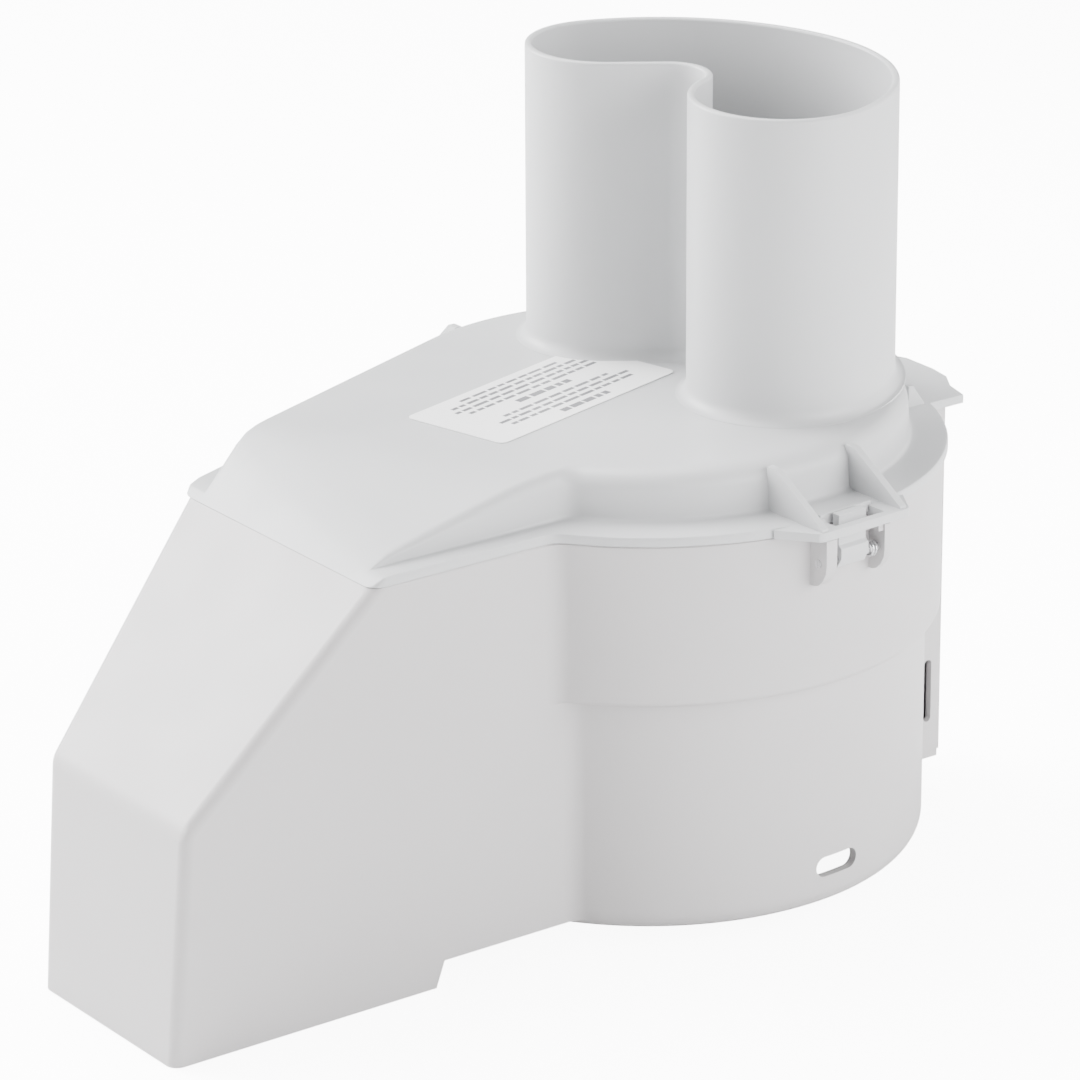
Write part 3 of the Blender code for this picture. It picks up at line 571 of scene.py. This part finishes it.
def make_lid(material):
    rise_total = DOME_Z - FLANGE_Z - FLANGE_T
    rings = []
    edge = lid_ring(0.0, 0.0)
    rings.append([(x, y, min(FLANGE_Z, z)) for x, y, z in lid_ring(0.04, 0.0)])
    rings.append([(x, y, min(FLANGE_Z + 0.4, z)) for x, y, z in edge])
    rings.append([(x, y, max(z - 0.9, min(FLANGE_Z, z))) for x, y, z in edge])
    rings.append([(x, y, max(z - 0.25, min(FLANGE_Z, z))) for x, y, z in lid_ring(0.03, 0.0)])
    rings.append(lid_ring(0.1, 0.0))
    rings.append(lid_ring(0.78, 0.0))
    foot, brow = 1.8, 6.0
    for i in range(1, 5):
        a = math.radians(90 * i / 5)
        inset = 1.0 - foot / LID_LEDGE * (1 - math.sin(a))
        rings.append(lid_ring(inset, foot * (1 - math.cos(a)) / rise_total))
    for i in range(7):
        a = math.radians(90 * i / 6)
        inset = 1.0 + 0.03 + brow / LID_LEDGE * (1 - math.cos(a))
        rings.append(lid_ring(inset, 1 - brow * (1 - math.sin(a)) / rise_total))
    shares = [0.97, 0.93, 0.88, 0.82, 0.75, 0.67, 0.58, 0.48, 0.37, 0.25, 0.12, 0.03]
    rings += crown(rings[-1], shares, top_z)
    under = []
    inner = lid_ring(1.0 + WALL / LID_LEDGE, 1.0, WALL)
    under.append([(x, y, FLANGE_Z) for x, y, z in inner])
    under.append([(x, y, max(z - WALL, FLANGE_Z)) for x, y, z in inner])
    under += crown(inner, shares, lambda x, y: max(top_z(x, y) - WALL, FLANGE_Z))
    bm = bmesh.new()
    outer_loops = [[bm.verts.new(p) for p in ring] for ring in rings]
    inner_loops = [[bm.verts.new(p) for p in ring] for ring in under]
    count = len(outer_loops[0])
    for loops in (outer_loops, inner_loops):
        for low, high in zip(loops, loops[1:]):
            for i in range(count):
                j = (i + 1) % count
                bm.faces.new([low[i], low[j], high[j], high[i]])
        bm.faces.new(loops[-1])
    for i in range(count):
        j = (i + 1) % count
        bm.faces.new([outer_loops[0][i], outer_loops[0][j], inner_loops[0][j], inner_loops[0][i]])
    bmesh.ops.remove_doubles(bm, verts=bm.verts, dist=0.004)
    bmesh.ops.dissolve_degenerate(bm, edges=bm.edges, dist=0.002)
    lid = finish_mesh("lid_shell", bm)
    cut(lid, extrude("hopper_way", kidney(0.3), 100, 200))
    for side in (-1, 1):
        cut(lid, box("latch_slot", (-9.5, 96.3, 120), (9.5, 106.6, 150), bracket_frame(side)))
    show(lid, material, "lid", ("lid_cover",), angle=40)


# The raised part of the lid is off the disc axis, so its wall is nearer on the front side than on the rear.
GUSSET_ROOTS = {-1: 81.6, 1: 88.8}
GUSSET_T = 2.8


def make_tabs(material):
    """Catch tabs with their gussets, the interlock tab, and the tongues that hold the lid to the hood."""
    top = FLANGE_Z + FLANGE_T
    for side, place in ((-1, "front"), (1, "rear")):
        flat, upright = bracket_frame(side), bracket_side_frame(side)
        plate = [(-29, 96.5), (-20, 108.6), (-18, 109.4), (17, 109.4), (18.5, 108.6), (25, 98.5)]
        plate += [(12, 98.6), (12, 96.3), (-12, 96.3), (-12, 97.6)]
        tab = extrude("tab_" + place, plate, FLANGE_Z + 0.15, top - 0.15, flat, 0.45)
        cut(tab, box("slot", (-11.5, 96.0, 120), (9.5, 106.6, 150), flat))
        show(tab, material, "lid")
        root = GUSSET_ROOTS[side]
        gusset = [(root, DOME_Z - 0.9), (root + 4.6, DOME_Z - 1.1), (108.6, top + 0.6), (108.6, top - 0.8),
                  (root, top - 0.8)]
        for number, w in enumerate((-19.0, 14.5), start=1):
            piece = extrude("gusset_%s_%d" % (place, number), gusset, w, w + GUSSET_T, upright, 0.35)
            show(piece, material, "lid")
        ledge = box("ledge_" + place, (-11.0, 97.2, FLANGE_Z + 0.9), (11.0, 98.8, top + 1.0), flat, 0.4)
        show(ledge, material, "lid")
    outline = [
        (84, -35), (108, -35), (110.5, -25), (115.5, -17), (LID_HIGH.x, -8), (LID_HIGH.x, 6), (108, 27),
        (84, 27)]
    tab = extrude("interlock_tab", outline, FLANGE_Z + 0.15, top - 0.15, None, 0.45)
    show(tab, material, "lid")
    nub = [(84, top - 1), (84, top + 7.5), (86, top + 7.5), (92, top - 1)]
    show(extrude("tab_rib", nub, 32.0, 34.6, SIDE, 0.35), material, "lid")
    clear, thick, reach = 1.8, 2.5, 9.0
    seam_x, seam_z = slope_inset(WALL)[1]
    length = math.hypot(1.0, SLOPE)
    sx, sz = 1 / length, SLOPE / length
    near = Vector((seam_x + sz * clear, seam_z - sx * clear))
    deep = near + Vector((sz, -sx)) * thick
    back = Vector((sx, sz)) * reach
    outline = [(near.x, FLANGE_Z + 1), (deep.x + 1, FLANGE_Z + 1), (deep.x + 1, deep.y),
               tuple(deep - back), tuple(near - back), tuple(near)]
    for number, y in enumerate((-38.0, 14.0), start=1):
        tongue = extrude("hood_tongue_%d" % number, outline, -y - 12, -y, SIDE, 0.3)
        show(tongue, material, "lid")


def make_hopper(material):
    foot_z, foot = DOME_Z - 0.5, 3.6
    rings = []

    def level(grow, z):
        rings.append([(x, y, z) for x, y in kidney(grow)])

    level(-HOPPER_WALL, HOPPER_LOW.z)
    level(0.0, HOPPER_LOW.z)
    level(0.0, foot_z)
    level(foot, foot_z)
    level(foot, foot_z + 0.6)
    for i in range(1, 8):
        a = math.radians(90 * i / 7)
        level(foot * (1 - math.sin(a)), foot_z + 0.6 + 4.4 * (1 - math.cos(a)))
    round_r = 1.0
    for i in range(5):
        a = math.radians(90 * i / 4)
        level(-round_r * (1 - math.cos(a)), HOPPER_HIGH.z - round_r * (1 - math.sin(a)))
    for i in range(5):
        a = math.radians(90 * i / 4)
        level(-HOPPER_WALL + round_r * (1 - math.sin(a)), HOPPER_HIGH.z - round_r * (1 - math.cos(a)))
    hopper = loft("hopper_shell", rings, capped=False)
    show(hopper, material, "lid", ("feed_hopper",), angle=40)


def label_place():
    return Matrix.Translation((-32.8, 14.0, 0)) @ Matrix.Rotation(math.radians(14.6), 4, "Z")


def make_label(film, ink):
    """A white film with rows of plain grey dashes in place of print."""
    length, width, round_r = 91.0, 41.0, 2.5
    outline = []
    for quarter, (u, v) in enumerate(((1, 1), (-1, 1), (-1, -1), (1, -1))):
        corner = (u * (length / 2 - round_r), v * (width / 2 - round_r))
        outline += arc(corner, round_r, 90 * quarter, 90 * quarter + 90, 6)
    base = DOME_Z + 0.12
    label = extrude("label_film", outline, base, base + 0.25, label_place())
    cut(label, extrude("foot", kidney(3.05), DOME_Z - 5, DOME_Z + 5))
    show(label, film, "lid", ("lid_label",))
    rng = random.Random(7)
    bm = bmesh.new()
    rows = [(-15.6, 2.6, 22), (-11.0, 1.5, 62), (-7.6, 1.5, 66), (-4.2, 1.5, 54),
            (1.6, 2.6, 26), (6.2, 1.5, 64), (9.6, 1.5, 70), (13.0, 1.5, 66), (16.2, 1.3, 50)]
    for v, tall, wide in rows:
        u = -wide / 2 + 2
        while u < wide / 2 + 2:
            dash = rng.uniform(2.5, 7.5)
            below, above = v - tall / 2, v + tall / 2
            corners = [(u, below), (u + dash, below), (u + dash, above), (u, above)]
            face = bm.faces.new([bm.verts.new((a, b, base + 0.2)) for a, b in corners])
            lifted = bmesh.ops.extrude_face_region(bm, geom=[face])["geom"]
            bmesh.ops.translate(bm, verts=[g for g in lifted if isinstance(g, bmesh.types.BMVert)],
                                vec=(0, 0, 0.09))
            u += dash + rng.uniform(0.8, 1.4)
    bmesh.ops.transform(bm, matrix=label_place(), verts=bm.verts)
    marks = finish_mesh("label_marks", bm)
    cut(marks, extrude("foot", kidney(3.05), DOME_Z - 5, DOME_Z + 5))
    show(marks, ink, "lid")


def make_catches(material):
    for side, place in ((-1, "front"), (1, "rear")):
        outline = [
            (99.9, 142.4), (99.9, 130.6), (99.0, 128.6), (99.4, 125.4), (101.0, 124.3), (102.6, 124.3),
            (104.5, 127.7), (104.5, 131.1), (103.1, 132.1), (103.1, 142.4)]
        lever = extrude("catch_" + place, outline, -6.9, 4.9, bracket_side_frame(side), 0.3)
        hole = arc((101.5, 127.0), 1.8, 0, 360, 24)[:-1]
        cut(lever, extrude("pin_way", hole, -20, 20, bracket_side_frame(side)))
        show(lever, material, "latch_" + place, ("latch_lever_" + place,))


# --- Materials --------------------------------------------------------------------------------------
def new_material(name, colour, roughness, metallic=0.0):
    material = bpy.data.materials.new(name)
    material.use_nodes = True
    nodes, links = material.node_tree.nodes, material.node_tree.links
    shader = nodes["Principled BSDF"]
    shader.inputs["Base Color"].default_value = (*colour, 1)
    shader.inputs["Roughness"].default_value = roughness
    shader.inputs["Metallic"].default_value = metallic
    return material, nodes, links, shader


def noise(nodes, links, scale, detail=3.0, stretch=(1, 1, 1)):
    place = nodes.new("ShaderNodeTexCoord")
    mapping = nodes.new("ShaderNodeMapping")
    mapping.inputs["Scale"].default_value = stretch
    texture = nodes.new("ShaderNodeTexNoise")
    texture.inputs["Scale"].default_value = scale
    texture.inputs["Detail"].default_value = detail
    links.new(place.outputs["Object"], mapping.inputs["Vector"])
    links.new(mapping.outputs["Vector"], texture.inputs["Vector"])
    return texture.outputs["Fac"]


def spread(nodes, links, value, low, high):
    """Map a texture's middle range onto low to high."""
    ramp = nodes.new("ShaderNodeMapRange")
    ramp.inputs["From Min"].default_value = 0.3
    ramp.inputs["From Max"].default_value = 0.7
    ramp.inputs["To Min"].default_value = low
    ramp.inputs["To Max"].default_value = high
    links.new(value, ramp.inputs["Value"])
    return ramp.outputs["Result"]


def tint(nodes, links, shader, value, dark, light):
    mix = nodes.new("ShaderNodeMix")
    mix.data_type = "RGBA"
    mix.inputs["A"].default_value = (*dark, 1)
    mix.inputs["B"].default_value = (*light, 1)
    links.new(value, mix.inputs["Factor"])
    links.new(mix.outputs["Result"], shader.inputs["Base Color"])


def bump(nodes, links, shader, height, depth, strength):
    node = nodes.new("ShaderNodeBump")
    node.inputs["Distance"].default_value = depth
    node.inputs["Strength"].default_value = strength
    links.new(height, node.inputs["Height"])
    links.new(node.outputs["Normal"], shader.inputs["Normal"])


def moulded_plastic(name, colour, roughness, grain=0.15):
    """Injection-moulded ABS: a hair of cloudiness, uneven satin and a fine spark-eroded grain."""
    material, nodes, links, shader = new_material(name, colour, roughness)
    cloud = spread(nodes, links, noise(nodes, links, 14), 0.0, 1.0)
    tint(nodes, links, shader, cloud, [c * 0.985 for c in colour], [min(c * 1.015, 1) for c in colour])
    links.new(spread(nodes, links, noise(nodes, links, 45), roughness - 0.05, roughness + 0.05),
              shader.inputs["Roughness"])
    bump(nodes, links, shader, noise(nodes, links, 2200, 2), 0.00006, grain)
    shader.inputs["IOR"].default_value = 1.5
    return material


def brushed_steel(name, colour, roughness, stretch):
    material, nodes, links, shader = new_material(name, colour, roughness, 1.0)
    lines = noise(nodes, links, 260, 4, stretch)
    links.new(spread(nodes, links, lines, roughness - 0.08, roughness + 0.1), shader.inputs["Roughness"])
    tint(nodes, links, shader, lines, [c * 0.9 for c in colour], [min(c * 1.08, 1) for c in colour])
    bump(nodes, links, shader, lines, 0.00003, 0.3)
    return material


def printed_film(name, colour):
    material, nodes, links, shader = new_material(name, colour, 0.4)
    cloud = spread(nodes, links, noise(nodes, links, 60), 0.0, 1.0)
    tint(nodes, links, shader, cloud, [c * 0.97 for c in colour], colour)
    bump(nodes, links, shader, noise(nodes, links, 900, 2), 0.00004, 0.1)
    return material


def rubber(name):
    material, nodes, links, shader = new_material(name, (0.03, 0.03, 0.032), 0.7)
    cloud = spread(nodes, links, noise(nodes, links, 120), 0.0, 1.0)
    tint(nodes, links, shader, cloud, (0.024, 0.024, 0.026), (0.042, 0.042, 0.044))
    bump(nodes, links, shader, noise(nodes, links, 1500, 3), 0.00008, 0.3)
    return material


def make_materials():
    return {
        "housing_plastic": moulded_plastic("housing ABS", (0.5, 0.486, 0.49), 0.48),
        "lid_plastic": moulded_plastic("lid ABS", (0.5, 0.505, 0.513), 0.42),
        "label_film": printed_film("label film", (0.9, 0.9, 0.9)),
        "ink": printed_film("label marks", (0.16, 0.16, 0.17)),
        "disc_plastic": moulded_plastic("disc plastic", (0.78, 0.78, 0.76), 0.42),
        "steel": brushed_steel("stainless steel", (0.62, 0.62, 0.63), 0.28, (1, 8, 1)),
        "bronze": brushed_steel("bearing bronze", (0.5, 0.34, 0.18), 0.36, (1, 1, 6)),
        "magnet": moulded_plastic("magnet coating", (0.12, 0.12, 0.125), 0.5),
        "seal_rubber": rubber("seal rubber"),
    }


def dress_cad_nodes(materials):
    """Every CAD node still shown gets its slot's finish and smooth shading, with edges over 32 degrees kept
    sharp.
    """
    slots = {part["node"]: part["material_slot"] for part in frame["record"]["subparts"]}
    replaced = {"base_housing", "lid_cover", "feed_hopper", "lid_label", "latch_lever_front",
                "latch_lever_rear"}
    for name, obj in frame["nodes"].items():
        if name in replaced:
            continue
        obj.data.materials.clear()
        obj.data.materials.append(materials[slots[name]])
        obj.data.shade_smooth()
        obj.data.set_sharp_from_angle(angle=math.radians(32))


# --- Stage ------------------------------------------------------------------------------------------
WORLD_STRENGTH = 0.05
FLOOR_WHITE, FLOOR_GLOW = 0.98, 9.0  # the sheet the eye sees
FLOOR_BOUNCE = 0.9                   # grey level of the sheet that light bounces off
FLOOR_HOLE_R = 0.062
# Name, azimuth and elevation in degrees, distance and width in metres, watts.
SOFT_BOXES = [
    ("box_left_back", -150, 25, 1.8, 1.2, 92),
    ("box_back", 180, 65, 1.8, 1.4, 70),
    ("box_left", -110, 25, 1.8, 1.2, 34),
    ("box_front", 0, 15, 1.8, 1.2, 26),
    ("box_right", 32, 20, 0.9, 0.7, 12),
    ("box_right_side", 90, 20, 0.9, 0.7, 5.5)]


def floor_plane(name, colour, glow, hole=0.0):
    """A wide round sheet; a hole in it, in metres, lies hidden under the drum."""
    mesh = bpy.data.meshes.new(name)
    bm = bmesh.new()
    steps, reach = 64, 15.0
    turns = [2 * math.pi * i / steps for i in range(steps)]
    outer = [bm.verts.new((reach * math.cos(a), reach * math.sin(a), 0)) for a in turns]
    if hole:
        inner = [bm.verts.new((AXIS.x + hole * math.cos(a), hole * math.sin(a), 0)) for a in turns]
        for i in range(steps):
            j = (i + 1) % steps
            bm.faces.new([outer[i], outer[j], inner[j], inner[i]])
    else:
        bm.faces.new(outer)
    bm.to_mesh(mesh)
    bm.free()
    plane = bpy.data.objects.new(name, mesh)
    plane.location.z = body_low.z - 0.0005
    bpy.context.scene.collection.objects.link(plane)
    material, _, _, shader = new_material(name + " paper", (colour, colour, colour), 0.9)
    shader.inputs["Specular IOR Level"].default_value = 0.1
    shader.inputs["Emission Color"].default_value = (1, 1, 1, 1)
    shader.inputs["Emission Strength"].default_value = glow
    mesh.materials.append(material)
    return plane


def make_stage():
    """A bright sheet for the eye, and a plain one just below it that the object's light bounces off."""
    sheet = floor_plane("floor", FLOOR_WHITE, FLOOR_GLOW, FLOOR_HOLE_R)
    sheet.visible_diffuse = False
    sheet.visible_glossy = False
    sheet.visible_shadow = False
    bounce = floor_plane("floor_bounce", FLOOR_BOUNCE, 0.0)
    bounce.location.z -= 0.001
    bounce.visible_camera = False
    world = bpy.data.worlds.new("studio")
    world.use_nodes = True
    backdrop = world.node_tree.nodes["Background"]
    backdrop.inputs["Color"].default_value = (1, 1, 1, 1)
    backdrop.inputs["Strength"].default_value = WORLD_STRENGTH
    bpy.context.scene.world = world


def area_light(name, azimuth, elevation, distance, size, power):
    """A round soft box that faces the object from azimuth (0 is the front, 90 the right)."""
    a, e = math.radians(azimuth), math.radians(elevation)
    towards = Vector((math.sin(a) * math.cos(e), -math.cos(a) * math.cos(e), math.sin(e)))
    data = bpy.data.lights.new(name, "AREA")
    data.shape = "DISK"
    data.size = size
    data.energy = power
    light = bpy.data.objects.new(name, data)
    light.location = Vector((0, 0, 0.13)) + towards * distance
    light.rotation_mode = "QUATERNION"
    light.rotation_quaternion = (-towards).to_track_quat("-Z", "Y")
    bpy.context.scene.collection.objects.link(light)


def make_lights():
    for light in SOFT_BOXES:
        area_light(*light)


def make_camera():
    """Two metres off, at the left front, a little above."""
    azimuth, elevation, distance = math.radians(-37.25), math.radians(21.72), 2.0
    yaw, pitch, roll, lens = -0.018, 0.015, -0.005, 197.83
    back = Vector((math.sin(azimuth) * math.cos(elevation), -math.cos(azimuth) * math.cos(elevation),
                   math.sin(elevation)))
    ahead = -back
    right = ahead.cross(Vector((0, 0, 1))).normalized()
    up = right.cross(ahead)
    ahead = (ahead + math.tan(yaw) * right + math.tan(pitch) * up).normalized()
    right = ahead.cross(Vector((0, 0, 1))).normalized()
    up = right.cross(ahead)
    turned_right = math.cos(roll) * right + math.sin(roll) * up
    turned_up = -math.sin(roll) * right + math.cos(roll) * up
    data = bpy.data.cameras.new("camera")
    data.lens = lens
    data.sensor_width = 36.0
    data.clip_end = 100
    camera = bpy.data.objects.new("camera", data)
    where = AXIS + Vector((0, 0, 0.07)) + back * distance
    columns = (turned_right, turned_up, -ahead)
    camera.matrix_world = Matrix.Translation(where) @ Matrix([
        [columns[c][r] for c in range(3)] for r in range(3)]).to_4x4()
    bpy.context.scene.collection.objects.link(camera)
    bpy.context.scene.camera = camera


def main():
    materials = make_materials()
    make_camera()
    make_lights()
    make_stage()
    make_housing(materials["housing_plastic"])
    make_lid(materials["lid_plastic"])
    make_tabs(materials["lid_plastic"])
    make_hopper(materials["lid_plastic"])
    make_label(materials["label_film"], materials["ink"])
    make_catches(materials["lid_plastic"])
    dress_cad_nodes(materials)


main()
